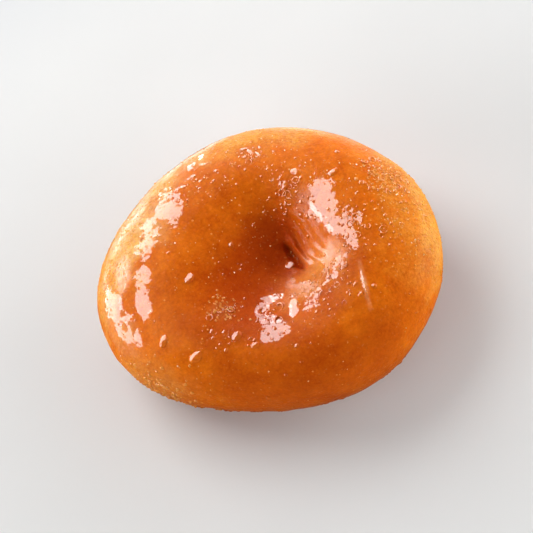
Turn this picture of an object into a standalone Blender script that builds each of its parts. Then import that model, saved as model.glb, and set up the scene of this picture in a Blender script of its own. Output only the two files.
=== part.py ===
"""Badusha: a round cake of flaky fried dough, glazed with sugar syrup, with a thumb dimple in its top.

Metres, +Z up. The origin is on the surface that the badusha rests on, under the middle of its bounding box.
+X runs along its longer way across. The badusha is one piece, so it is one solid.
"""

import math

import bmesh
import bpy
from mathutils import Vector

MM = 0.001

# The round cake before the thumb goes in
BODY_RADIUS = 29.4 * MM
BULGE_HEIGHT = 12.3 * MM  # where it is widest
DOME_RISE = 17.0 * MM  # from the bulge to the top of the uncut dome
FOOT_DROP = 13.5 * MM  # from the bulge to where the rounded underside would end, below the flat foot
SIDE_ROUNDNESS = 0.92  # 1 is an ellipse, and less is squarer
DOME_ROUNDNESS = 0.88
FOOT_ROUNDNESS = 0.72

# The thumb dimple: a wide bowl pressed in nearer the front, with a creased pit in its right side
BOWL_CENTRE = Vector((-0.6, -6.5)) * MM
BOWL_RADIUS = 13.6 * MM
BOWL_DEPTH = 9.5 * MM
PIT_CENTRE = Vector((5.2, 0.0)) * MM
PIT_DEPTH = 4.0 * MM
PIT_HALF_LENGTH = 7.4 * MM
PIT_LEFT_WIDTH = 6.0 * MM
PIT_RIGHT_WIDTH = 2.8 * MM
PIT_TURN = math.radians(-65)  # the crease's direction, from +X

# Shaping by hand: (waves round the rim, share of the radius, degrees from +X of a high point)
RIM_SWELLS = ((1, 0.006, 90), (2, 0.072, -2), (3, 0.029, -52), (4, 0.018, 6))
# (waves, share of the height, degrees)
CREST_SWELLS = ((1, 0.008, -40), (2, 0.010, 120), (3, 0.008, 20))

SECTION_STEP = 1.45 * MM
SECTION_SAMPLES = 900
TURN_STEPS = 84

DOUGH_COLOUR = (0.60, 0.16, 0.018, 1.0)
DOUGH_ROUGHNESS = 0.28


def clear_scene():
    """Removes the objects that are there, such as the startup scene's."""
    for found in list(bpy.data.objects):
        bpy.data.objects.remove(found)


def dome_point(turn):
    """A point of the half section, at a turn of 0 over the middle to pi under it, as (radius, height)."""
    radius = BODY_RADIUS * math.sin(turn) ** SIDE_ROUNDNESS
    lift = math.cos(turn)
    if lift >= 0:
        return radius, BULGE_HEIGHT + DOME_RISE * lift**DOME_ROUNDNESS
    return radius, BULGE_HEIGHT - FOOT_DROP * (-lift) ** FOOT_ROUNDNESS


def half_section():
    """The turned outline, evenly spaced from the top's middle, over the side, to the flat foot's middle."""
    foot_turn = math.pi - math.acos((BULGE_HEIGHT / FOOT_DROP) ** (1 / FOOT_ROUNDNESS))
    samples = [dome_point(foot_turn * i / SECTION_SAMPLES) for i in range(SECTION_SAMPLES + 1)]
    points = [samples[0]]
    walked = 0.0
    for before, after in zip(samples, samples[1:]):
        walked += math.dist(before, after)
        if walked >= SECTION_STEP:
            points.append(after)
            walked = 0.0
    if walked < SECTION_STEP / 2:
        points.pop()
    foot_radius = samples[-1][0]
    points += [(foot_radius, 0.0), (foot_radius / 2, 0.0), (0.0, 0.0)]
    return points


def turned_cake():
    """The plain round cake, turned from its half section with a Screw modifier, as a new mesh."""
    outline = bpy.data.meshes.new("half_section")
    points = [(radius, 0.0, height) for radius, height in half_section()]
    outline.from_pydata(points, [(i, i + 1) for i in range(len(points) - 1)], [])
    guide = bpy.data.objects.new("half_section", outline)
    bpy.context.scene.collection.objects.link(guide)
    turn = guide.modifiers.new("turn", "SCREW")
    turn.steps = TURN_STEPS
    turn.render_steps = TURN_STEPS
    turn.use_merge_vertices = True
    turn.merge_threshold = 0.01 * MM
    graph = bpy.context.evaluated_depsgraph_get()
    cake = bpy.data.meshes.new_from_object(guide.evaluated_get(graph))
    bpy.data.objects.remove(guide)
    return cake


def swell(swells, bearing):
    """What the uneven shaping adds at this bearing, as a share."""
    return sum(share * math.cos(waves * (bearing - math.radians(at))) for waves, share, at in swells)


def dimple_depth(place):
    """How far the thumb presses the top down at this place."""
    out = (place - BOWL_CENTRE).length / BOWL_RADIUS
    bowl = BOWL_DEPTH * math.exp(-(out**2))
    along = Vector((math.cos(PIT_TURN), math.sin(PIT_TURN)))
    right = Vector((-along.y, along.x))
    offset = place - PIT_CENTRE
    across = offset.dot(right)
    width = PIT_RIGHT_WIDTH if across > 0 else PIT_LEFT_WIDTH
    spread = (offset.dot(along) / PIT_HALF_LENGTH) ** 2 + (across / width) ** 2
    return bowl + PIT_DEPTH * math.exp(-spread)


def shaped(point):
    """Where kneading and the thumb take a point of the turned cake."""
    flat = Vector((point.x, point.y))
    bearing = math.atan2(point.y, point.x)
    share_out = min(flat.length / BODY_RADIUS, 1.0)
    flat *= 1 + share_out * swell(RIM_SWELLS, bearing)
    height = point.z * (1 + share_out * swell(CREST_SWELLS, bearing))
    above_bulge = min(max((point.z - BULGE_HEIGHT) / DOME_RISE, 0.0), 1.0)
    height -= above_bulge**0.5 * dimple_depth(flat)
    return Vector((flat.x, flat.y, height))


def centre_on_foot(sweet):
    """Moves the mesh so that the middle of its box is over the origin and its foot is at height 0."""
    corners = [vertex.co for vertex in sweet.verts]
    low = Vector([min(corner[axis] for corner in corners) for axis in range(3)])
    high = Vector([max(corner[axis] for corner in corners) for axis in range(3)])
    middle = (low + high) / 2
    bmesh.ops.translate(sweet, verts=sweet.verts, vec=(-middle.x, -middle.y, -low.z))


def dough_material():
    """Syrup-glazed fried dough, amber brown."""
    material = bpy.data.materials.new("glazed_dough")
    material.use_nodes = True
    surface = material.node_tree.nodes["Principled BSDF"]
    surface.inputs["Base Color"].default_value = DOUGH_COLOUR
    surface.inputs["Roughness"].default_value = DOUGH_ROUGHNESS
    surface.inputs["Metallic"].default_value = 0.0
    return material


def make_badusha():
    """The one solid of the badusha, in its own collection."""
    sweet = bmesh.new()
    sweet.from_mesh(turned_cake())
    for vertex in sweet.verts:
        vertex.co = shaped(vertex.co)
    centre_on_foot(sweet)
    bmesh.ops.recalc_face_normals(sweet, faces=sweet.faces)
    mesh = bpy.data.meshes.new("badusha")
    sweet.to_mesh(mesh)
    sweet.free()
    mesh.shade_smooth()
    mesh.materials.append(dough_material())
    badusha = bpy.data.objects.new("badusha", mesh)
    collection = bpy.data.collections.new("badusha_sweet")
    bpy.context.scene.collection.children.link(collection)
    collection.objects.link(badusha)


clear_scene()
make_badusha()
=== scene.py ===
import math
import random

import bmesh
import bpy
from mathutils import Matrix, Vector, noise
from mathutils.bvhtree import BVHTree
from mathutils.kdtree import KDTree


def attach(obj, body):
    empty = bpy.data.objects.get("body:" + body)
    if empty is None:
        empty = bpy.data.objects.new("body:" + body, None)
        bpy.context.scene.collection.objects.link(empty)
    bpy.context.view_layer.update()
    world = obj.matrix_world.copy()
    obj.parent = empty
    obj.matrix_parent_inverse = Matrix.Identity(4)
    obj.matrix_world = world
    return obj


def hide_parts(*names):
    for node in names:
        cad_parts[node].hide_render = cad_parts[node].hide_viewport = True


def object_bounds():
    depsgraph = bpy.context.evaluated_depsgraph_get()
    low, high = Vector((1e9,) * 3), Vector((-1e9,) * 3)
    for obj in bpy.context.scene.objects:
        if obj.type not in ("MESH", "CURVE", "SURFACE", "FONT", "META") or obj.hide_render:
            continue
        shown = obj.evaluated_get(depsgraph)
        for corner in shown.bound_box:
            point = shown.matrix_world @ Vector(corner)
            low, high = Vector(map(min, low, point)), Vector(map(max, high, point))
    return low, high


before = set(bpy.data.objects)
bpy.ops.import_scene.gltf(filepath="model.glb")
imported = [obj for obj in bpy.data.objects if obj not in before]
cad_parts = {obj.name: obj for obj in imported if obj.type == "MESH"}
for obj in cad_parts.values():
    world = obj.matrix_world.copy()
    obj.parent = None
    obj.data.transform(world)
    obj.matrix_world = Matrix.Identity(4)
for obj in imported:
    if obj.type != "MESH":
        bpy.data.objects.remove(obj)  # one body, "root", and one node, the plain badusha
cadLow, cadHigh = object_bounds()
mm = 0.001
noise.seed_set(3)  # or noise_vector would take its seed from the clock
centre = (cadLow + cadHigh) / 2
print("frame loaded: the plain badusha is %.1f mm long" % ((cadHigh.x - cadLow.x) / mm))


def ease(start, end, value):
    # 0 before start, 1 past end, smooth between, and start may be the larger
    share = min(max((value - start) / (end - start), 0.0), 1.0)
    return share * share * (3 - 2 * share)


def finishPiece(shape, name, finish):
    # a bmesh becomes a smooth object with its finish
    mesh = bpy.data.meshes.new(name)
    shape.to_mesh(mesh)
    shape.free()
    mesh.shade_smooth()
    mesh.materials.append(finish)
    piece = bpy.data.objects.new(name, mesh)
    bpy.context.scene.collection.objects.link(piece)
    print("%s: %d faces" % (name, len(mesh.polygons)))
    return piece


def link(tree, source, target):
    tree.links.new(source, target)


def feed(tree, value, socket):
    # a plain value is set on the socket, and a socket is linked to it
    if isinstance(value, (int, float, tuple)):
        socket.default_value = value
    else:
        link(tree, value, socket)


def newGroup(name, inputs, outputs):
    # a shader node group with its named sockets
    group = bpy.data.node_groups.new(name, "ShaderNodeTree")
    for socket, kind, value in inputs:
        made = group.interface.new_socket(socket, in_out="INPUT", socket_type=kind)
        if value is not None:
            made.default_value = value
    for socket, kind in outputs:
        group.interface.new_socket(socket, in_out="OUTPUT", socket_type=kind)
    start = group.nodes.new("NodeGroupInput")
    end = group.nodes.new("NodeGroupOutput")
    return group, start, end


def addNoise(tree, vector, size, detail=2.0, rough=0.5):
    # noise with features of this size, stretched to fill 0 to 1
    pattern = tree.nodes.new("ShaderNodeTexNoise")
    pattern.inputs["Scale"].default_value = 1 / size
    pattern.inputs["Detail"].default_value = detail
    pattern.inputs["Roughness"].default_value = rough
    link(tree, vector, pattern.inputs["Vector"])
    return addRange(tree, pattern.outputs["Fac"], 0.28, 0.72, kind="LINEAR")


def addRange(tree, value, low, high, outLow=0.0, outHigh=1.0, kind="SMOOTHSTEP"):
    span = tree.nodes.new("ShaderNodeMapRange")
    span.interpolation_type = kind
    for socket, number in (("From Min", low), ("From Max", high), ("To Min", outLow), ("To Max", outHigh)):
        span.inputs[socket].default_value = number
    link(tree, value, span.inputs["Value"])
    return span.outputs["Result"]


def addMath(tree, kind, first, second):
    node = tree.nodes.new("ShaderNodeMath")
    node.operation = kind
    feed(tree, first, node.inputs[0])
    feed(tree, second, node.inputs[1])
    return node.outputs["Value"]


def addSum(tree, *parts):
    # the sum of (share, value) pairs
    total = None
    for share, value in parts:
        part = addMath(tree, "MULTIPLY", value, share)
        total = part if total is None else addMath(tree, "ADD", total, part)
    return total


def addMix(tree, share, first, second):
    # a mix of two colours: its inputs 6 and 7 and its output 2 are the colour ones
    node = tree.nodes.new("ShaderNodeMix")
    node.data_type = "RGBA"
    feed(tree, share, node.inputs["Factor"])
    feed(tree, first, node.inputs[6])
    feed(tree, second, node.inputs[7])
    return node.outputs[2]


def addAttribute(tree, name):
    node = tree.nodes.new("ShaderNodeAttribute")
    node.attribute_name = name
    return node.outputs["Fac"]


def addCells(tree, vector, size):
    # how far a point is from the nearest of the cells' hearts
    cells = tree.nodes.new("ShaderNodeTexVoronoi")
    cells.inputs["Scale"].default_value = 1 / size
    link(tree, vector, cells.inputs["Vector"])
    return cells.outputs["Distance"]


def caramelGroup():
    # fried colour: slow patches, mottle and fine grain between a light and a deep colour
    group, start, end = newGroup(
        "caramelMottle",
        [("Vector", "NodeSocketVector", None), ("Light", "NodeSocketColor", (0.8, 0.25, 0.03, 1)),
         ("Deep", "NodeSocketColor", (0.5, 0.1, 0.01, 1)), ("Grain", "NodeSocketFloat", 0.4)],
        [("Color", "NodeSocketColor")])
    vector = start.outputs["Vector"]
    slow = addNoise(group, vector, 8 * mm, 3.0)
    mottle = addNoise(group, vector, 1.9 * mm, 3.0, 0.6)
    fine = addNoise(group, vector, 0.55 * mm, 3.0, 0.7)
    grain = addMath(group, "MULTIPLY", addMath(group, "SUBTRACT", fine, 0.5), start.outputs["Grain"])
    blotches = addMath(group, "ADD", addSum(group, (0.38, slow), (0.30, mottle)), 0.16)
    depth = addMath(group, "ADD", blotches, grain)
    link(group, addMix(group, depth, start.outputs["Light"], start.outputs["Deep"]), end.inputs["Color"])
    return group


def grainGroup():
    # fine sugar grain: a height for bump and a mask of pale specks
    group, start, end = newGroup(
        "sugarGrain",
        [("Vector", "NodeSocketVector", None), ("Amount", "NodeSocketFloat", 1.0)],
        [("Height", "NodeSocketFloat"), ("Specks", "NodeSocketFloat")])
    vector = start.outputs["Vector"]
    cells = addCells(group, vector, 0.6 * mm)
    bumps = addRange(group, cells, 0.65, 0.05)
    height = addSum(group, (0.7, bumps), (0.5, addNoise(group, vector, 0.4 * mm, 2.0)))
    link(group, addMath(group, "MULTIPLY", height, start.outputs["Amount"]), end.inputs["Height"])
    chosen = addRange(group, addNoise(group, vector, 1.0 * mm, 2.0), 0.55, 0.80)
    specks = addMath(group, "MULTIPLY", addRange(group, cells, 0.42, 0.12), chosen)
    link(group, addMath(group, "MULTIPLY", specks, start.outputs["Amount"]), end.inputs["Specks"])
    return group


def islandGroup():
    # ragged islands whose spread follows Cover, from none at 0 to nearly whole at 1
    group, start, end = newGroup(
        "syrupIslands",
        [("Vector", "NodeSocketVector", None), ("Cover", "NodeSocketFloat", 0.5)],
        [("Mask", "NodeSocketFloat")])
    vector = start.outputs["Vector"]
    broad = addNoise(group, vector, 2.8 * mm, 1.0)
    ragged = addNoise(group, vector, 0.95 * mm, 3.0, 0.6)
    islands = addSum(group, (0.45, broad), (0.55, ragged))
    shore = addRange(group, start.outputs["Cover"], 0.0, 1.0, 0.98, 0.12, kind="LINEAR")
    whole = addRange(group, addMath(group, "SUBTRACT", islands, shore), -0.02, 0.02)
    holes = addRange(group, addCells(group, vector, 1.25 * mm), 0.20, 0.26)
    unpierced = addRange(group, addNoise(group, vector, 2.0 * mm, 1.0), 0.42, 0.50)
    pierced = addMath(group, "MULTIPLY", whole, addMath(group, "MAXIMUM", holes, unpierced))
    link(group, pierced, end.inputs["Mask"])
    return group


groups = {"caramel": caramelGroup(), "grain": grainGroup(), "islands": islandGroup()}
print("shader groups made")


def addGroup(tree, key, **values):
    node = tree.nodes.new("ShaderNodeGroup")
    node.node_tree = groups[key]
    for name, value in values.items():
        feed(tree, value, node.inputs[name])
    return node


def newFinish(name):
    finish = bpy.data.materials.new(name)
    finish.use_nodes = True
    tree = finish.node_tree
    surface = tree.nodes["Principled BSDF"]
    place = tree.nodes.new("ShaderNodeTexCoord").outputs["Object"]
    return finish, tree, surface, place


def addBump(tree, surface, height, depth):
    bump = tree.nodes.new("ShaderNodeBump")
    bump.inputs["Distance"].default_value = depth
    bump.inputs["Strength"].default_value = 1.0
    link(tree, height, bump.inputs["Height"])
    link(tree, bump.outputs["Normal"], surface.inputs["Normal"])


syrup = {
    "roughness": 0.04,
    "ior": 1.49,
    "doughIor": 1.45,
    "doughShine": 0.015,  # under the coat the dough itself hardly shines
}


def setSyrupCoat(surface):
    # clear syrup, the same all over: how much of it there is comes from the Coat Weight
    surface.inputs["Coat Roughness"].default_value = syrup["roughness"]
    surface.inputs["Coat IOR"].default_value = syrup["ior"]
    surface.inputs["IOR"].default_value = syrup["doughIor"]
    surface.inputs["Specular IOR Level"].default_value = syrup["doughShine"]


dough = {
    "facet": 0.70 * mm,  # the even mesh's face size, halved on the sides and top and again in the syrup
    "smoothing": 3,
    "plainBelow": 5.0 * mm,  # the height from which faces are halved
    "fineFrom": 0.42,  # the syrup or foam from which they are halved again
    "fineAbove": 14 * mm,
    "fineRound": 5 * mm,  # and round the crease
    "smoothingAfter": 4,
    "lumpSize": 12 * mm,  # left by the hand that shaped it
    "lumpHeight": 0.30 * mm,
    "waveSize": 4.2 * mm,  # the glaze's slow waves
    "waveHeight": 0.13 * mm,
    "rippleSize": 1.7 * mm,  # and its quick ones
    "rippleHeight": 0.035 * mm,
    "runStretch": 0.42,  # under 1, ripples run down the sides
    "grainSize": 0.9 * mm,  # the bare crust's grain
    "grainHeight": 0.09 * mm,
    "foamSize": 1.15 * mm,  # small bubbles side by side under the syrup
    "foamDepth": 0.13 * mm,
    "seamHeight": 4.5 * mm,  # the ragged lower edge
    "seamRelief": 0.45 * mm,
    "footFade": 1.2 * mm,  # relief fades to nothing on the foot
}

dimple = {
    "middle": Vector((1.0 * mm, -5.0 * mm, 0)),
    "reach": 19.0 * mm,
    "pit": Vector((5.2 * mm, -3.2 * mm, 0)),
    "creaseTurn": math.radians(-65),
    "creaseDepth": 1.5 * mm,
    "creaseWidth": 0.60 * mm,
    "lipHeight": 0.68 * mm,
    "pleatPitch": 1.3 * mm,
    "pleatHeight": 0.16 * mm,
    "pleatCount": 3,
}
creaseHeart = dimple["pit"] + Vector((0, 0, 18 * mm))

drip = {  # a thin dried run of syrup down the front
    "top": Vector((15.4, -11.0)) * mm,
    "foot": Vector((14.4, -19.6)) * mm,
    "lowest": 20 * mm,
    "halfWidth": 0.30 * mm,
    "height": 0.30 * mm,
    "wobble": 0.1 * mm,
}

pocks = {  # sizes as shares of a pock's radius
    "craterShare": 0.55,  # the other pocks are blisters
    "pitDepth": 0.22,
    "pitWidth": 0.55,
    "lipHeight": 0.09,
    "lipWidth": 0.28,
    "domeHeight": 0.20,
    "domeWidth": 0.75,
    "reach": 1.6,
}

# every patch: place in mm, half length, half width, turn in degrees on the plan, strength
# bare crust, where the glaze is thin and the grain shows
crustPatches = [
    ((-9.5, -10.8, 22.4), 2.6, 2.1, 0, 0.35),
    ((25, 5, 20), 5, 4, 90, 0.35),
    ((-24.5, -15.5, 9), 8, 6, -30, 0.25),
    ((14, 24, 11), 14, 7, -30, 0.95),
    ((-17, 21, 9), 12, 6, 35, 0.8),
    ((24, -14, 6), 9, 5, 60, 0.6),
    ((3, -25, 4), 8, 4, 0, 0.6),
]

# where the syrup has dried in glossy islands
syrupPatches = [
    ((-7.4, 17.6, 25.4), 4.6, 1.5, 66, 0.54),
    ((-5.2, 19.5, 24.6), 3.4, 0.9, 88, 0.58),
    ((-13.4, 10.9, 25.8), 5.6, 3.7, 62, 0.74),
    ((-17.2, 7.6, 25.5), 5.4, 2.7, 46, 0.66),
    ((-19.3, 4.0, 25), 4.8, 2.1, 68, 0.74),
    ((-20.9, -0.4, 24.8), 3.4, 1.8, 66, 0.72),
    ((-22.4, -5.4, 23.7), 5.9, 1.8, 80, 0.78),
    ((-27.4, -5.0, 21.2), 7.2, 2.9, 98, 0.98),
    ((-26.2, -8.8, 20.8), 3.2, 2.0, 108, 1.0),
    ((13.1, 1.5, 25.7), 5.7, 3.2, 77, 1.0),
    ((10.8, 0.8, 24.9), 2.8, 1.1, 20, 0.95),
    ((13.0, -2.4, 25.0), 3.2, 2.0, 84, 0.98),
    ((13.2, 7.8, 26.1), 1.5, 0.4, 72, 0.90),
    ((16.0, 7.2, 26.2), 1.7, 0.4, 58, 0.90),
    ((17.0, -2.6, 25.5), 2.8, 1.6, 130, 0.97),
    ((15.3, -6.4, 24.9), 4.2, 1.4, 96, 0.97),
    ((10.5, -10.6, 22.8), 6.4, 1.8, 22, 0.58),
    ((5.6, -13.8, 22), 4.4, 2.4, 60, 0.48),
    ((-2.2, -15.0, 21.5), 5.4, 2.3, 100, 0.90),
    ((-3.2, -13.4, 21.4), 5.0, 1.6, 95, 0.95),
    ((2.3, -13.6, 21.2), 4.4, 1.1, 78, 0.92),
    ((-0.8, -10.6, 20.4), 3.2, 1.3, 0, 0.95),
    ((-2.2, -18.0, 21.9), 2.6, 2.0, 0, 1.0),
    ((8.5, 8, 26.4), 4.6, 3.0, 30, 0.30),
    ((3.2, 16.6, 26.2), 2.0, 0.5, -60, 0.60),
    ((20, 19, 17), 8.0, 3.0, -42, 0.55),
    ((4, 26, 15), 7.0, 3.0, 0, 0.60),
    ((-23, 14, 17), 6.0, 3.0, 55, 0.60),
    ((29, -3, 15), 6.0, 2.6, 85, 0.45),
]

# gaps in those islands
dryPatches = [
    ((-0.8, -13.4, 20.8), 1.5, 1.0, 80, 1.0),
    ((-27.0, -7.0, 20.7), 0.9, 0.6, 90, 1.0),
    ((-16.8, 11.4, 25.2), 1.8, 0.8, 100, 0.8),
    ((9.8, 4.2, 24.8), 1.8, 1.3, 30, 0.8),
]

# where the colour is darker, low on the front and left: partly deeper frying, partly painted shade
deepToneAndShadePatches = [
    ((1, -25, 16), 22.0, 9.0, -4, 0.58),
    ((-15, -20, 14), 9.0, 5.0, -40, 0.30),
    ((-13, -13, 22.9), 6.0, 4.0, -30, 0.60),
]

# painted light: the dimple's wall that faces the lamps is kept lighter, without the dimple's painted shade
litPatches = [
    ((10.0, -4.0, 22), 8.0, 5.0, 70, 0.95),
    ((5.5, -10.0, 20.5), 8.0, 5.0, 30, 0.90),
    ((6.0, -17.0, 22.5), 9.0, 3.6, 8, 0.55),
]

# where the syrup left only a thin, even shine
dampPatches = [
    ((8.5, -7.2, 21.3), 8.0, 3.8, 22, 0.70),
    ((-21.5, 15.0, 20.5), 13.5, 5.0, 52, 0.60),
    ((-9, 23.5, 19), 12.0, 5.0, 14, 1.0),
    ((-24.6, 1.4, 22.9), 3.6, 2.0, 75, 0.80),
    ((14, 22, 18), 14.0, 4.4, -28, 0.30),
    ((10.5, 0, 23.5), 7.0, 4.0, 70, 0.30),
]

# a pale film: partly dried sugar, partly a painted reflection of the bright room on the rims and a painted
# sheen beside the pit
sugarFilmAndSheenPatches = [
    ((-19.5, 11.5, 23.3), 13.5, 6.4, 54, 0.92),
    ((-11.5, 19, 23.5), 9.0, 5.0, 24, 0.85),
    ((-27.5, -4, 19), 9.0, 4.0, 95, 0.55),
    ((-24.6, 1.4, 22.9), 3.6, 2.2, 75, 0.85),
    ((8.5, -5.5, 21), 6.5, 3.6, 40, 0.30),
    ((27, 4, 18), 12.0, 3.6, 88, 0.30),
    ((28, -9, 18), 8.0, 4.0, 78, 0.25),
    ((-25, -15, 16), 9.0, 4.5, -40, 0.12),
    ((6, 23.5, 18), 12.0, 3.4, -6, 0.40),
]

# bubbles side by side
foamPatches = [
    ((17.0, -2.8, 25.4), 3.0, 1.8, 120, 0.50),
    ((15.2, -7.0, 24.9), 3.6, 1.4, 96, 0.45),
    ((9.5, -10.6, 22.5), 6.0, 2.2, 22, 0.7),
    ((-0.5, -12.4, 20.5), 3.6, 3.2, 0, 0.3),
    ((8, 7, 26), 5.0, 3.2, 30, 0.55),
    ((24.5, 4, 21), 6.0, 3.6, 80, 0.7),
    ((-9.5, -10.8, 22.4), 2.4, 2.0, 0, 0.6),
]

# paler skin, and speckled: partly where the rim stood out of the hot fat, partly painted light along the
# left and right rims and a painted sheen on the dimple's wall
paleToneAndLightPatches = [
    ((-21, 11, 20), 21, 8, 50, 1.0),
    ((27.5, -1, 20), 20, 7.6, 88, 0.35),
    ((30.0, -2, 17), 20, 6.0, 88, 0.85),
    ((5, 21.5, 21), 20, 7.0, -4, 0.75),
    ((8.0, -9.5, 21.9), 7.5, 4.2, 22, 0.32),
    ((-25.0, -15.0, 14), 9.0, 5.5, -40, 0.28),
]

# little craters and blisters: place in mm, reach, how many, smallest and largest radius
pockPatches = [
    ((-1.0, -13.0, 21), 3.0, 4, 0.6, 0.9),
    ((13.2, 0.5, 25), 3.4, 2, 0.40, 0.5),
    ((7.5, 6.5, 26), 4.6, 5, 0.35, 0.6),
    ((24.5, 5.0, 21), 5.0, 4, 0.30, 0.5),
    ((21.5, -7.0, 23), 1.8, 3, 0.6, 0.9),
    ((-27.2, -6.8, 20), 0.6, 1, 0.75, 0.8),
    ((-26.0, 3.0, 18), 8.0, 10, 0.35, 0.7),
    ((0.0, 0.0, 12), 40.0, 70, 0.3, 0.6),
]


def patchShare(place, patches, wander=0.4):
    # the strongest patch here, with edges that wander by this share of their reach
    most = 0.0
    x, y, z = place / mm
    shake = None
    for (atX, atY, atZ), halfLength, halfWidth, turn, strength in patches:
        offX, offY, offZ = x - atX, y - atY, z - atZ
        away = offX * offX + offY * offY + offZ * offZ
        if away > (2 * halfLength) ** 2 or strength <= most:
            continue
        if shake is None:
            shake = 1 + wander * noise.noise(place / (3.5 * mm))
        turn = math.radians(turn)
        along = offX * math.cos(turn) + offY * math.sin(turn)
        across = math.sqrt(max(away - along * along, 0.0))
        out = math.hypot(along / halfLength, across / halfWidth)
        most = max(most, strength * ease(1.35 * shake, 0.45 * shake, out))
    return most


def hollowToneAndShade(place):
    # how far down in the dimple a place is, 0 on the rim to 1 in the pit: a darker colour there, partly
    # deeper frying and partly painted shade, left out on the wall that faces the lamps
    out = (Vector((place.x, place.y, 0.0)) - dimple["middle"]).length
    depth = ease(0.8 * mm, 5.8 * mm, cadHigh.z - place.z)
    depth *= ease(dimple["reach"], dimple["reach"] * 0.72, out)
    return depth * (1 - patchShare(place, litPatches))


def crustShare(place):
    # how bare of glaze a place is
    under = ease(7.0 * mm, 2.0 * mm, place.z)
    return max(patchShare(place, crustPatches), 0.8 * under)


def pleats(place):
    # the crease in the pit, its lip, and short folds beside it up the right wall
    along = Vector((math.cos(dimple["creaseTurn"]), math.sin(dimple["creaseTurn"]), 0.0))
    right = Vector((-along.y, along.x, 0.0))
    offset = Vector((place.x, place.y, 0.0)) - dimple["pit"]
    across, down = offset.dot(right), offset.dot(along)
    across += 0.35 * mm * math.sin(down / (1.9 * mm))
    near = ease(4.2 * mm, 1.4 * mm, abs(down))
    height = -dimple["creaseDepth"] * near * math.exp(-((across / dimple["creaseWidth"]) ** 2))
    height += dimple["lipHeight"] * near * math.exp(-((across / dimple["creaseWidth"] - 2.1) ** 2))
    width = dimple["pleatPitch"] * dimple["pleatCount"]
    inside = ease(1.0 * mm, 2.0 * mm, across) * ease(width + 1.5 * mm, width * 0.7, across)
    inside *= ease(6.5 * mm, 3.0 * mm, abs(down + 0.5 * mm))
    bend = 0.25 * math.sin(down / (2.4 * mm))
    folds = math.cos(math.tau * (across / dimple["pleatPitch"] + bend))
    return height + dimple["pleatHeight"] * inside * folds


def dripShare(place):
    # how near a place is to the middle of the run of syrup
    if place.z < drip["lowest"]:
        return 0.0
    run = drip["foot"] - drip["top"]
    offset = Vector((place.x, place.y)) - drip["top"]
    down = offset.dot(run) / run.length_squared
    across = (offset - run * down).length + drip["wobble"] * math.sin(down * 9)
    return ease(-0.1, 0.3, down) * ease(1.1, 0.9, down) * math.exp(-((across / drip["halfWidth"]) ** 2))


def foam(place):
    # round cells with thin walls between them
    near, _ = noise.voronoi(place / dough["foamSize"])
    return -dough["foamDepth"] * ease(0.62, 0.10, near[0])


def relief(place, bare, bubbly):
    # the height of the surface over the smooth cake
    height = dough["lumpHeight"] * noise.noise(place / dough["lumpSize"])
    runs = Vector((place.x, place.y, place.z * dough["runStretch"]))
    glazed = 1 - 0.6 * bare
    height += dough["waveHeight"] * glazed * noise.noise(runs / dough["waveSize"] + Vector((7, 3, 1)))
    height += dough["rippleHeight"] * glazed * noise.noise(runs / dough["rippleSize"] + Vector((2, 9, 4)))
    grain = noise.noise(place / dough["grainSize"]) + 0.5 * noise.noise(place / dough["grainSize"] * 2.1)
    height += dough["grainHeight"] * bare * grain
    seam = math.exp(-(((place.z - dough["seamHeight"]) / (2.2 * mm)) ** 2))
    height += dough["seamRelief"] * seam * noise.noise(place / (3.2 * mm) + Vector((5, 5, 5)))
    if bubbly > 0:
        height += bubbly * foam(place)
    height += pleats(place) + drip["height"] * dripShare(place)
    return height * ease(0.0, dough["footFade"], place.z)


def evenCake():
    # an even mesh over a merged copy of the CAD cake
    cake = bmesh.new()
    cake.from_mesh(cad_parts["badusha"].data)
    bmesh.ops.remove_doubles(cake, verts=cake.verts, dist=0.01 * mm)
    plain = bpy.data.meshes.new("plainCake")
    cake.to_mesh(plain)
    cake.free()
    guide = bpy.data.objects.new("plainCake", plain)
    bpy.context.scene.collection.objects.link(guide)
    remesh = guide.modifiers.new("even", "REMESH")
    remesh.mode = "VOXEL"
    remesh.voxel_size = dough["facet"]
    graph = bpy.context.evaluated_depsgraph_get()
    even = bpy.data.meshes.new_from_object(guide.evaluated_get(graph))
    bpy.data.objects.remove(guide)
    return even


def landings(skin, sprays, rng, lowest=4 * mm):
    # seeded places on the skin, each with the way out of it and a radius
    found = []
    for middle, reach, count, smallest, largest in sprays:
        for _ in range(count):
            throw = Vector((rng.gauss(0, 0.5), rng.gauss(0, 0.5), rng.gauss(0, 0.5))) * reach
            place, outward, _, _ = skin.find_nearest((Vector(middle) + throw) * mm)
            radius = rng.uniform(smallest, largest) * mm
            if place.z > lowest:
                found.append((place, outward, radius))
    return found


def pressPocks(cake, rng):
    # a crater is a pit with a raised lip, and a blister a low dome
    near = KDTree(len(cake.verts))
    for vertex in cake.verts:
        near.insert(vertex.co, vertex.index)
    near.balance()
    cake.verts.ensure_lookup_table()
    for place, _, radius in landings(BVHTree.FromBMesh(cake), pockPatches, rng):
        crater = rng.random() < pocks["craterShare"]
        for _, index, away in near.find_range(place, radius * pocks["reach"]):
            out = away / radius
            if crater:
                shape = -pocks["pitDepth"] * math.exp(-((out / pocks["pitWidth"]) ** 2))
                shape += pocks["lipHeight"] * math.exp(-(((out - 1.0) / pocks["lipWidth"]) ** 2))
            else:
                shape = pocks["domeHeight"] * math.exp(-((out / pocks["domeWidth"]) ** 2))
            vertex = cake.verts[index]
            vertex.co += vertex.normal * shape * radius


def halve(cake, chosen):
    # the faces between these vertices become a quarter of their size
    edges = [edge for edge in cake.edges if edge.verts[0] in chosen and edge.verts[1] in chosen]
    bmesh.ops.subdivide_edges(cake, edges=edges, cuts=1, use_grid_fill=True)


def relax(cake, rounds):
    axes = {"use_axis_x": True, "use_axis_y": True, "use_axis_z": True}
    for _ in range(rounds):
        bmesh.ops.smooth_vert(cake, verts=cake.verts, factor=0.5, **axes)


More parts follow.
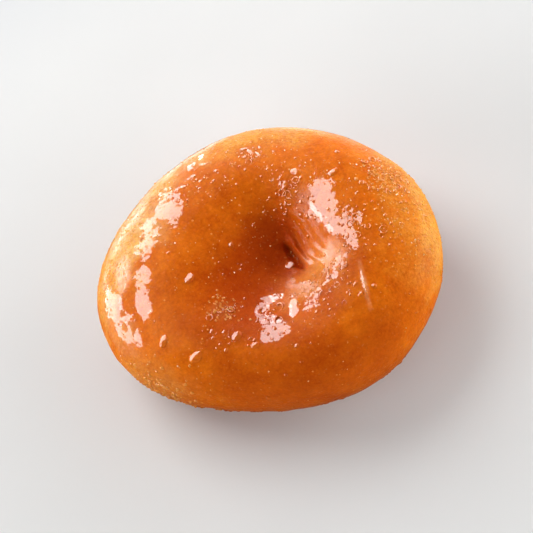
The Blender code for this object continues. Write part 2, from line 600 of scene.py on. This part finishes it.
def refine(cake):
    # finer faces where the body is seen best
    halve(cake, {vertex for vertex in cake.verts if vertex.co.z > dough["plainBelow"]})
    relax(cake, dough["smoothingAfter"])
    fine = set()
    for vertex in cake.verts:
        if vertex.co.z > dough["fineAbove"]:
            shine = max(patchShare(vertex.co, syrupPatches, 0), patchShare(vertex.co, foamPatches, 0))
            shine = max(shine, dripShare(vertex.co))
            if shine > dough["fineFrom"] or (vertex.co - creaseHeart).length < dough["fineRound"]:
                fine.add(vertex)
    halve(cake, fine)


def paintShares(shape):
    # what the finishes read at each vertex
    names = ("hollow", "bare", "syrup", "damp", "filmAndSheen", "pale")
    layers = {name: shape.verts.layers.float.new(name) for name in names}
    for vertex in shape.verts:
        place = vertex.co
        vertex[layers["bare"]] = crustShare(place)
        # painted shade: darker in the dimple and low on the front, partly also deeper frying
        vertex[layers["hollow"]] = max(hollowToneAndShade(place), patchShare(place, deepToneAndShadePatches))
        wet = patchShare(place, syrupPatches) * (1 - patchShare(place, dryPatches))
        vertex[layers["syrup"]] = max(wet, dripShare(place))
        vertex[layers["damp"]] = patchShare(place, dampPatches)
        # partly a sugar film, partly painted reflection and sheen; along the drip it is a painted highlight
        # line
        vertex[layers["filmAndSheen"]] = max(patchShare(place, sugarFilmAndSheenPatches), dripShare(place))
        # paler skin, partly painted light on the rims and beside the pit
        vertex[layers["pale"]] = patchShare(place, paleToneAndLightPatches)
    return layers


def makeDough():
    rng = random.Random(11)
    cake = bmesh.new()
    cake.from_mesh(evenCake())
    relax(cake, dough["smoothing"])
    refine(cake)
    print("dough: even mesh with %d vertices, now its relief" % len(cake.verts))
    bare = paintShares(cake)["bare"]
    cake.verts.index_update()
    cake.normal_update()
    for vertex in cake.verts:
        vertex.co += vertex.normal * relief(vertex.co, vertex[bare], patchShare(vertex.co, foamPatches))
    cake.normal_update()
    pressPocks(cake, rng)
    for vertex in cake.verts:
        vertex.co.z = max(vertex.co.z, 0.0)
    bmesh.ops.recalc_face_normals(cake, faces=cake.faces)
    return finishPiece(cake, "doughBody", glazedDough())


glaze = {
    "rimLight": (0.92, 0.225, 0.008, 1),
    "rimDeep": (0.48, 0.058, 0.001, 1),
    # the paler tones: partly the less fried band, partly painted light
    "paleLight": (0.98, 0.50, 0.075, 1),
    "paleDeep": (0.66, 0.160, 0.006, 1),
    # the dimple's darker tones: partly deeper frying, partly painted shade
    "hollowLight": (0.58, 0.082, 0.004, 1),
    "hollowDeep": (0.36, 0.034, 0.002, 1),
    # darker tones towards the bottom: partly deeper frying, partly painted shade
    "underLight": (0.46, 0.056, 0.002, 1),
    "underDeep": (0.20, 0.014, 0.001, 1),
    "grain": {"rim": 0.38, "pale": 0.75, "hollow": 0.38, "under": 0.8},
    "bareSpeck": (0.84, 0.42, 0.16, 1),
    "filmAndSheen": (1.0, 0.62, 0.34, 1),  # a film of dried sugar, and also painted reflection and sheen
    "filmAndSheenShare": 0.44,
    "bareTint": (0.66, 0.20, 0.055, 1),
    "bareShare": 0.55,
    "skinDepth": 0.34 * mm,
    "softDepth": 2.2 * mm,
    "softSpread": (1.0, 0.32, 0.08),  # red goes deepest
    "dryShine": 0.012,  # how glossy the dough is between the islands of syrup
}


def addTones(tree, place):
    # the colour for where a point is on the cake: fried tones, with painted shade in the dimple and towards
    # the bottom, and painted light on the rims
    height = tree.nodes.new("ShaderNodeSeparateXYZ")
    link(tree, place, height.inputs["Vector"])
    low = addRange(tree, height.outputs["Z"], 14 * mm, 5 * mm)
    tones = {}
    for tone in ("rim", "pale", "hollow", "under"):
        light, deep = glaze[tone + "Light"], glaze[tone + "Deep"]
        mottle = addGroup(tree, "caramel", Vector=place, Light=light, Deep=deep, Grain=glaze["grain"][tone])
        tones[tone] = mottle.outputs["Color"]
    colour = addMix(tree, addAttribute(tree, "pale"), tones["rim"], tones["pale"])
    # darker towards the bottom: partly the deeper-fried underside, partly painted shade
    colour = addMix(tree, low, colour, tones["under"])
    return addMix(tree, addAttribute(tree, "hollow"), colour, tones["hollow"])


def setSoftness(surface, share, depth):
    # light that goes a little way into the dough and comes out redder
    surface.inputs["Subsurface Weight"].default_value = share
    surface.inputs["Subsurface Radius"].default_value = glaze["softSpread"]
    surface.inputs["Subsurface Scale"].default_value = depth


def glazedDough():
    finish, tree, surface, place = newFinish("glazedDough")
    bare, pale, filmAndSheen, damp = (addAttribute(tree, name) for name in ("bare", "pale", "filmAndSheen", "damp"))

    # colour: the fried tones with their painted light and shade, bare crust, the pale film with its painted
    # reflection and sheen, and sugar specks
    colour = addTones(tree, place)
    colour = addMix(tree, addMath(tree, "MULTIPLY", bare, glaze["bareShare"]), colour, glaze["bareTint"])
    broad, small = addNoise(tree, place, 2.2 * mm, 3.0), addNoise(tree, place, 0.8 * mm, 2.0)
    patchy = addSum(tree, (0.45, broad), (0.5, small))
    film = addMath(tree, "MULTIPLY", filmAndSheen, addRange(tree, patchy, 0.15, 0.80, 0.35, 1.0))
    colour = addMix(tree, addMath(tree, "MULTIPLY", film, glaze["filmAndSheenShare"]), colour, glaze["filmAndSheen"])
    amount = addMath(tree, "ADD", addSum(tree, (0.5, pale), (0.4, bare)), 0.16)
    specks = addGroup(tree, "grain", Vector=place, Amount=amount)
    colour = addMix(tree, specks.outputs["Specks"], colour, glaze["bareSpeck"])
    link(tree, colour, surface.inputs["Base Color"])

    smears = addNoise(tree, place, 3.0 * mm, 3.0)
    roughness = addMath(tree, "ADD", addSum(tree, (0.28, bare), (0.14, smears)), 0.26)
    link(tree, roughness, surface.inputs["Roughness"])

    # gloss: islands of syrup, a thinner shine where it is damp, and little on bare crust
    islands = addGroup(tree, "islands", Vector=place, Cover=addAttribute(tree, "syrup")).outputs["Mask"]
    damp = addMath(tree, "MULTIPLY", damp, addRange(tree, patchy, 0.15, 0.75, 0.4, 1.0))
    wet = addMath(tree, "MAXIMUM", islands, addMath(tree, "ADD", damp, glaze["dryShine"]))
    gloss = addMath(tree, "MULTIPLY", wet, addRange(tree, bare, 0.15, 0.95, 1.0, 0.25))
    link(tree, gloss, surface.inputs["Coat Weight"])

    # bump: the grain of bare crust, and a fine skin that is rougher where it is pale
    crust = addGroup(tree, "grain", Vector=place, Amount=bare)
    coarse, fine = addNoise(tree, place, 0.9 * mm, 2.0), addNoise(tree, place, 0.4 * mm, 1.0)
    skin = addSum(tree, (0.60, coarse), (0.35, fine))
    skin = addMath(tree, "MULTIPLY", skin, addRange(tree, pale, 0.0, 1.0, 0.30, 1.0))
    addBump(tree, surface, addMath(tree, "ADD", crust.outputs["Height"], skin), glaze["skinDepth"])

    setSyrupCoat(surface)
    setSoftness(surface, 0.35, glaze["softDepth"])
    surface.inputs["Sheen Weight"].default_value = 0.1
    surface.inputs["Sheen Roughness"].default_value = 0.35
    surface.inputs["Sheen Tint"].default_value = (1.0, 0.62, 0.28, 1)
    return finish


def standing(outward):
    # turns +Z to point out of the skin
    return outward.to_track_quat("Z", "Y").to_matrix().to_4x4()


def addBlob(shape, place, outward, size, rng, lump):
    # a small uneven lump, partly sunk in the skin
    length, width = size * rng.uniform(0.8, 1.3), size * rng.uniform(0.8, 1.1)
    scale = Matrix.Diagonal((length, width, size * lump["flatness"], 1))
    turn = standing(outward) @ Matrix.Rotation(rng.uniform(0, math.tau), 4, "Z")
    matrix = Matrix.Translation(place - outward * size * lump["sink"]) @ turn @ scale
    rounds = 2 if size > 0.36 * mm else 1  # the smallest ones, in their hundreds, have 20 faces each
    made = bmesh.ops.create_icosphere(shape, subdivisions=rounds, radius=1, matrix=matrix)
    for vertex in made["verts"]:
        vertex.co += noise.noise_vector(vertex.co / (size * 1.1)) * size * lump["unevenness"]


def finishScatter(shape, name, finish):
    # the small pieces take their tones from where they lie, as the dough does
    bmesh.ops.recalc_face_normals(shape, faces=shape.faces)
    paintShares(shape)
    piece = finishPiece(shape, name, finish)
    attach(piece, "root")


beads = {
    "tiny": [  # sprays: place in mm, reach, how many, smallest and largest radius
        ((7.5, 5.0, 24), 6.0, 60, 0.16, 0.42),
        ((17.0, -4.0, 25.4), 4.0, 34, 0.16, 0.40),
        ((8.5, -11.8, 23), 6.0, 46, 0.16, 0.45),
        ((4.0, 15.8, 26.3), 2.4, 12, 0.16, 0.34),
        ((-1.0, -15.0, 22), 7.0, 30, 0.16, 0.40),
        ((24.0, 4.0, 21), 7.0, 46, 0.20, 0.46),
        ((21.0, -7.0, 23), 3.0, 12, 0.20, 0.40),
        ((-9.0, -16.0, 22), 5.0, 16, 0.18, 0.40),
        ((1.0, 15.0, 26), 8.0, 26, 0.16, 0.36),
        ((-8.0, 14.0, 26), 6.0, 16, 0.16, 0.36),
        ((0, 0, 16), 42.0, 150, 0.14, 0.34),
    ],
    "drops": [  # place in mm, radius, how much longer than wide
        ((4.0, -4.2, 18.5), 0.85, 1.2),
        ((-5.0, 1.0, 22.5), 0.50, 1.0),
        ((-13.5, -4.0, 24), 0.75, 1.5),
        ((-8.5, -16.5, 22), 0.85, 1.3),
        ((-6.0, -19.0, 20.5), 0.60, 1.4),
        ((-20.8, -13.0, 22.2), 0.80, 1.6),
        ((-16.3, -17.5, 21.5), 0.95, 1.5),
        ((-6.0, -23.6, 14), 0.45, 1.3),
        ((10.0, 9.0, 26), 0.75, 1.5),
        ((7.6, 7.4, 25.5), 0.60, 1.5),
        ((-12.4, -14.4, 22), 0.35, 1.2),
        ((-10.4, -15.2, 22), 0.35, 1.2),
        ((16.0, 6.4, 25.5), 0.55, 2.2),
        ((13.4, -16.2, 20), 0.40, 1.5),
        ((-15.6, 1.6, 24.6), 0.36, 1.2),
        ((2.6, 17.6, 26), 0.30, 3.0),
        ((3.6, 16.3, 26.2), 0.36, 2.6),
        ((4.8, 15.2, 26.3), 0.30, 2.4),
        ((2.3, 15.4, 26.2), 0.26, 2.0),
        ((5.4, 16.8, 26.0), 0.26, 2.2),
        ((7.6, 14.8, 26.2), 0.26, 1.5),
        ((-3.3, 14.2, 26.2), 0.30, 1.5),
        ((1.7, 12.6, 26.0), 0.25, 1.6),
        ((-7.5, 15.0, 25.8), 0.32, 2.2),
        ((-6.4, 13.2, 26.0), 0.26, 2.0),
        ((-9.6, 13.4, 25.8), 0.30, 1.8),
        ((-5.2, 17.0, 25.6), 0.32, 2.6),
        ((-7.0, 11.8, 26.0), 0.24, 1.6),
        ((-4.2, 12.4, 26.1), 0.24, 1.5),
        ((27.5, -12.0, 14), 0.50, 1.5),
        ((-27.0, 9.0, 14), 0.50, 1.6),
        ((9.0, 25.4, 12), 0.55, 1.6),
    ],
    "flatness": 0.62,
    "unevenness": 0.12,
    "sink": 0.15,
    "dropUnevenness": 0.16,
    "dropSink": 0.12,
    "lean": Vector((-0.25, 0.0, 0.97)),  # the way that drops on the top face
}


def addDrop(shape, spot, outward, size, stretch, rng):
    # a bigger drop, longer than wide
    sag = 0.6 * ease(0.35, 0.8, outward.z)  # drops on the top sag, so that they face up
    outward = outward.lerp(beads["lean"], sag).normalized()
    scale = Matrix.Diagonal((size, size * stretch, size * beads["flatness"], 1))
    turn = standing(outward) @ Matrix.Rotation(rng.uniform(-0.6, 0.6), 4, "Z")
    matrix = Matrix.Translation(spot - outward * size * beads["dropSink"]) @ turn @ scale
    made = bmesh.ops.create_icosphere(shape, subdivisions=4, radius=1, matrix=matrix)
    for vertex in made["verts"]:
        vertex.co += noise.noise_vector(vertex.co / (0.9 * size)) * size * beads["dropUnevenness"]


def makeBeads(skin):
    rng = random.Random(23)
    shape = bmesh.new()
    for place, outward, radius in landings(skin, beads["tiny"], rng, lowest=7 * mm):
        addBlob(shape, place, outward, radius, rng, beads)
    for place, radius, stretch in beads["drops"]:
        spot, outward, _, _ = skin.find_nearest(Vector(place) * mm)
        addDrop(shape, spot, outward, radius * mm, stretch, rng)
    finishScatter(shape, "syrupBeads", syrupGloss())


def syrupGloss():
    # thick clear syrup over the fried colour
    finish, tree, surface, place = newFinish("syrupGloss")
    smears = addNoise(tree, place, 1.2 * mm, 2.0)
    colour = addMix(tree, 0.07, addTones(tree, place), (0.95, 0.42, 0.10, 1))
    link(tree, colour, surface.inputs["Base Color"])
    link(tree, addRange(tree, smears, 0.0, 1.0, 0.10, 0.24, kind="LINEAR"), surface.inputs["Roughness"])
    surface.inputs["Coat Weight"].default_value = 1.0
    setSyrupCoat(surface)
    setSoftness(surface, 0.25, 0.2 * mm)
    return finish


rims = {
    "sprays": [  # burst bubbles: place in mm, reach, how many, smallest and largest radius
        ((7.5, 6.0, 25), 4.6, 7, 0.35, 0.70),
        ((16.9, -2.6, 25.5), 2.6, 6, 0.35, 0.60),
        ((15.2, -7.4, 24.9), 2.6, 4, 0.35, 0.60),
        ((13.0, -10.8, 23.8), 1.6, 3, 0.40, 0.65),
        ((8.0, -11.8, 22.5), 5.6, 16, 0.28, 0.55),
        ((-0.5, -12.6, 20.5), 3.2, 2, 0.50, 0.80),
        ((21.5, -7.0, 23), 1.4, 2, 0.50, 0.80),
        ((24.5, 4.5, 21), 5.0, 8, 0.40, 0.75),
        ((-9.5, -11.0, 21.5), 2.6, 9, 0.35, 0.60),
        ((3.0, 15.5, 26), 3.4, 2, 0.35, 0.55),
        ((0, 0, 14), 42.0, 14, 0.30, 0.55),
    ],
    "wire": 0.20,  # the rim's thickness as a share of its radius
    "lean": 0.12,
    "sink": 0.3,
    "unevenness": 0.27,
    "sections": 14,
    "sides": 6,
    "order": Vector((1.0, 0.7, 0.3)),  # faces are sorted this way, as spin's own order differs each run
}


def addRim(shape, place, outward, radius, rng):
    # a thin uneven ring, tilted so that part of it is under the skin
    lean = Vector((rng.gauss(0, rims["lean"]), rng.gauss(0, rims["lean"]), 0))
    axis = (outward + lean).normalized()
    wire = radius * rims["wire"] * rng.uniform(0.8, 1.5)
    upright = Matrix.Translation((radius, 0, 0)) @ Matrix.Rotation(math.pi / 2, 4, "X")
    heart = place - outward * wire * rims["sink"]
    matrix = Matrix.Translation(heart) @ standing(axis) @ upright
    ring = bmesh.ops.create_circle(shape, segments=rims["sides"], radius=wire, matrix=matrix)["verts"]
    edges = list(dict.fromkeys(edge for vertex in ring for edge in vertex.link_edges))
    before = len(shape.verts)
    bmesh.ops.spin(shape, geom=ring + edges, cent=heart, axis=axis, steps=rims["sections"],
                   angle=math.tau, use_merge=True)
    shape.verts.ensure_lookup_table()
    for vertex in ring + shape.verts[before:]:
        vertex.co += noise.noise_vector(vertex.co / (radius * 1.4)) * radius * rims["unevenness"]


def makeRims(skin):
    rng = random.Random(31)
    shape = bmesh.new()
    for place, outward, radius in landings(skin, rims["sprays"], rng, lowest=8 * mm):
        addRim(shape, place, outward, radius, rng)
    shape.faces.sort(key=lambda face: face.calc_center_median().dot(rims["order"]))
    finishScatter(shape, "bubbleRims", syrupGloss())


grains = {
    "sprays": [  # place in mm, reach, how many, smallest and largest radius
        ((-9.5, -11.0, 21.5), 3.0, 64, 0.14, 0.32),
        ((24.2, 4.8, 22), 4.4, 120, 0.16, 0.40),
        ((25.0, 2.0, 21), 7.0, 90, 0.12, 0.30),
        ((24.0, -6.0, 21), 10.0, 130, 0.10, 0.26),
        ((-24.0, 11.0, 19), 16.0, 420, 0.10, 0.28),
        ((4.0, 20.0, 22), 16.0, 220, 0.10, 0.24),
        ((-24.5, -15.5, 9), 8.0, 260, 0.18, 0.48),
        ((0, 0, 13), 46.0, 480, 0.09, 0.20),
    ],
    "flatness": 0.7,
    "unevenness": 0.35,
    "sink": 0.2,
    "tint": (0.96, 0.46, 0.11, 1),
    "tintShare": 0.42,
}


def makeGrains(skin):
    rng = random.Random(47)
    shape = bmesh.new()
    for place, outward, radius in landings(skin, grains["sprays"], rng, lowest=1.5 * mm):
        addBlob(shape, place, outward, radius, rng, grains)
    finishScatter(shape, "crustGrains", grainyCrust("crustGrain", grains))


def grainyCrust(name, kind):
    # fried crust with sugar dried on it
    finish, tree, surface, place = newFinish(name)
    colour = addMix(tree, kind["tintShare"], addTones(tree, place), kind["tint"])
    crust = addGroup(tree, "grain", Vector=place, Amount=1.0)
    colour = addMix(tree, crust.outputs["Specks"], colour, glaze["bareSpeck"])
    link(tree, colour, surface.inputs["Base Color"])
    link(tree, addRange(tree, crust.outputs["Height"], 0.0, 1.0, 0.34, 0.60), surface.inputs["Roughness"])
    addBump(tree, surface, crust.outputs["Height"], 0.10 * mm)
    gloss = addRange(tree, addNoise(tree, place, 1.4 * mm, 2.0), 0.3, 0.8, 0.05, 0.6)
    link(tree, gloss, surface.inputs["Coat Weight"])
    setSyrupCoat(surface)
    setSoftness(surface, 0.15, 0.1 * mm)
    return finish


crystals = {
    "sprays": [  # place in mm, reach, how many, smallest and largest half width
        ((24.5, 2.0, 21), 12.0, 80, 0.06, 0.13),
        ((-22.0, 10.0, 20), 16.0, 60, 0.06, 0.12),
        ((2.0, 17.0, 25), 16.0, 60, 0.06, 0.12),
        ((0, 0, 14), 44.0, 110, 0.05, 0.12),
    ],
    "rise": 0.3,  # how far a crystal's middle is out of the skin, as a share of its half width
}


def makeCrystals(skin):
    rng = random.Random(59)
    shape = bmesh.new()
    for place, outward, radius in landings(skin, crystals["sprays"], rng):
        spin = Matrix.Rotation(rng.uniform(0, math.tau), 4, outward)
        tilt = Matrix.Rotation(rng.uniform(0, 1.5), 4, "X")
        scale = Matrix.Diagonal((2 * radius, 2 * radius * rng.uniform(0.7, 1.0), 1.6 * radius, 1))
        heart = place + outward * radius * crystals["rise"]
        bmesh.ops.create_cube(shape, size=1, matrix=Matrix.Translation(heart) @ spin @ tilt @ scale)
    bmesh.ops.recalc_face_normals(shape, faces=shape.faces)
    piece = finishPiece(shape, "sugarCrystals", paleSugar())
    piece.data.shade_flat()
    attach(piece, "root")


def paleSugar():
    finish, tree, surface, place = newFinish("paleSugar")
    tint = addNoise(tree, place, 0.5 * mm, 1.0)
    colour = addMix(tree, tint, (0.96, 0.66, 0.32, 1), (0.88, 0.42, 0.12, 1))
    link(tree, colour, surface.inputs["Base Color"])
    link(tree, addRange(tree, tint, 0.0, 1.0, 0.12, 0.30), surface.inputs["Roughness"])
    surface.inputs["Specular IOR Level"].default_value = 0.5
    setSoftness(surface, 0.3, 0.1 * mm)
    return finish


crumbs = {
    "count": 300,
    "lowest": 1.6 * mm,
    "highest": 7.5 * mm,
    "sizes": (0.30, 0.80),
    "thickest": math.radians(-140),  # the side with the most crumbs
    "raggedFrom": 0.15,
    "flatness": 0.40,
    "unevenness": 0.35,
    "sink": 0.30,
    "tint": (0.60, 0.20, 0.05, 1),
    "tintShare": 0.20,
}


def makeCrumbs(skin):
    # ragged bits of crust round the lower edge
    rng = random.Random(71)
    shape = bmesh.new()
    for _ in range(crumbs["count"]):
        around = rng.uniform(0, math.tau)
        up = crumbs["lowest"] + (crumbs["highest"] - crumbs["lowest"]) * rng.random() ** 1.6
        aim = Vector((40 * mm * math.cos(around), 36 * mm * math.sin(around), up))
        place, outward, _, _ = skin.find_nearest(aim)
        ragged = noise.noise(place / (7 * mm)) + 0.5 * math.cos(around - crumbs["thickest"])
        if ragged > crumbs["raggedFrom"]:
            addBlob(shape, place, outward, rng.uniform(*crumbs["sizes"]) * mm, rng, crumbs)
    for vertex in shape.verts:
        vertex.co.z = max(vertex.co.z, 0.05 * mm)
    finishScatter(shape, "crustCrumbs", grainyCrust("friedCrumb", crumbs))


studio = {
    "elevation": math.radians(59),
    "roll": math.radians(18),
    "lens": 90,
    "fill": 0.66,  # the share of the frame that the badusha spans
    "floorSize": 3.0,
    "floorLight": (0.80, 0.80, 0.79, 1),
    "floorDark": (0.76, 0.76, 0.75, 1),
    "floorNear": 0.07,  # where the floor starts to fade into the backdrop, and where it is the same
    "floorFar": 0.14,
    "world": (0.95, 0.97, 1.0, 1),
    "backdropStrength": 0.85,
    "fillStrength": 0.16,  # what the room adds to the light on things
    "mirrored": 0.05,  # and to their reflections
}

# degrees round from +X, degrees up, distance, width, height, brightness, what it does:
# a mirror shows only in reflections, and a light is itself never mirrored
softboxes = {
    "window": (130, 48, 0.60, 0.90, 0.74, 9.6, "mirror"),
    "windowSide": (190, 36, 0.60, 0.26, 0.46, 9.2, "mirror"),
    "windowLow": (148, 0, 0.60, 1.00, 0.36, 7.2, "mirror"),
    "windowBack": (84, 18, 0.60, 0.26, 0.42, 7.0, "mirror"),
    "windowSill": (102, -2, 0.60, 0.18, 0.28, 7.0, "mirror"),
    "farTable": (80, -18, 0.60, 2.20, 0.44, 2.6, "mirror"),
    "glowAll": (30, 18, 0.60, 1.10, 0.36, 1.0, "mirror"),
    "key": (130, 44, 0.60, 0.50, 0.45, 4.05, "light"),
    "rimBehind": (60, 14, 0.60, 0.90, 0.26, 3.2, "light"),
    "glowRight": (-12, 14, 0.60, 0.80, 0.28, 5.2, "light"),
    "glowLeft": (-160, 16, 0.60, 0.50, 0.28, 4.3, "light"),
}


def makeFloor():
    ground = bmesh.new()
    bmesh.ops.create_grid(ground, x_segments=1, y_segments=1, size=studio["floorSize"])
    finish, tree, surface, place = newFinish("paleFloor")
    tint = addNoise(tree, place, 60 * mm, 2.0)
    away = tree.nodes.new("ShaderNodeVectorMath")
    away.operation = "LENGTH"
    link(tree, place, away.inputs[0])
    far = addRange(tree, away.outputs["Value"], studio["floorNear"], studio["floorFar"])
    colour = addMix(tree, tint, studio["floorDark"], studio["floorLight"])
    link(tree, addMix(tree, far, colour, (0, 0, 0, 1)), surface.inputs["Base Color"])
    link(tree, addMix(tree, far, (0, 0, 0, 1), studio["world"]), surface.inputs["Emission Color"])
    surface.inputs["Emission Strength"].default_value = studio["backdropStrength"]
    surface.inputs["Roughness"].default_value = 0.7
    surface.inputs["Specular IOR Level"].default_value = 0.0
    floor = finishPiece(ground, "floor", finish)
    floor.visible_glossy = False


def makeLights():
    for name, (around, up, distance, width, height, brightness, duty) in softboxes.items():
        light = bpy.data.lights.new(name, "AREA")
        light.shape = "RECTANGLE"
        light.size, light.size_y = width, height
        light.energy = brightness * math.pi * width * height
        lamp = bpy.data.objects.new(name, light)
        around, up = math.radians(around), math.radians(up)
        back = Vector((math.cos(around) * math.cos(up), math.sin(around) * math.cos(up), math.sin(up)))
        lamp.location = centre + back * distance
        lamp.rotation_mode = "QUATERNION"
        lamp.rotation_quaternion = back.to_track_quat("Z", "Y")
        lamp.visible_camera = False
        lamp.visible_diffuse = duty == "light"
        lamp.visible_glossy = duty == "mirror"
        bpy.context.scene.collection.objects.link(lamp)


def makeWorld():
    # a pale backdrop to look at, and a dimmer room that lights things and is mirrored in them
    world = bpy.data.worlds.new("paleRoom")
    world.use_nodes = True
    tree = world.node_tree
    backdrop = tree.nodes["Background"]
    backdrop.inputs["Color"].default_value = studio["world"]
    rays = tree.nodes.new("ShaderNodeLightPath")
    seen = addMath(tree, "MULTIPLY", rays.outputs["Is Camera Ray"], studio["backdropStrength"])
    fill = addMath(tree, "MULTIPLY", rays.outputs["Is Diffuse Ray"], studio["fillStrength"])
    strength = addMath(tree, "MAXIMUM", addMath(tree, "MAXIMUM", seen, fill), studio["mirrored"])
    link(tree, strength, backdrop.inputs["Strength"])
    bpy.context.scene.world = world


def makeCamera():
    data = bpy.data.cameras.new("camera")
    data.lens = studio["lens"]
    data.dof.use_dof = False
    camera = bpy.data.objects.new("camera", data)
    turn = studio["elevation"]
    back = Vector((0.0, -math.cos(turn), math.sin(turn)))
    span = (cadHigh.x - cadLow.x) / studio["fill"]
    distance = span * data.lens / data.sensor_width
    look = standing(back) @ Matrix.Rotation(-studio["roll"], 4, "Z")
    camera.matrix_world = Matrix.Translation(centre + back * distance) @ look
    bpy.context.scene.collection.objects.link(camera)
    bpy.context.scene.camera = camera


makeCamera()
makeLights()
makeWorld()
makeFloor()
bpy.context.scene.view_settings.view_transform = "Standard"
print("floor, lights and camera set")

body = makeDough()
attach(body, "root")
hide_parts("badusha")

surfaceOfCake = bmesh.new()
surfaceOfCake.from_mesh(body.data)
skin = BVHTree.FromBMesh(surfaceOfCake)
surfaceOfCake.free()
makeBeads(skin)
makeRims(skin)
makeGrains(skin)
makeCrystals(skin)
makeCrumbs(skin)
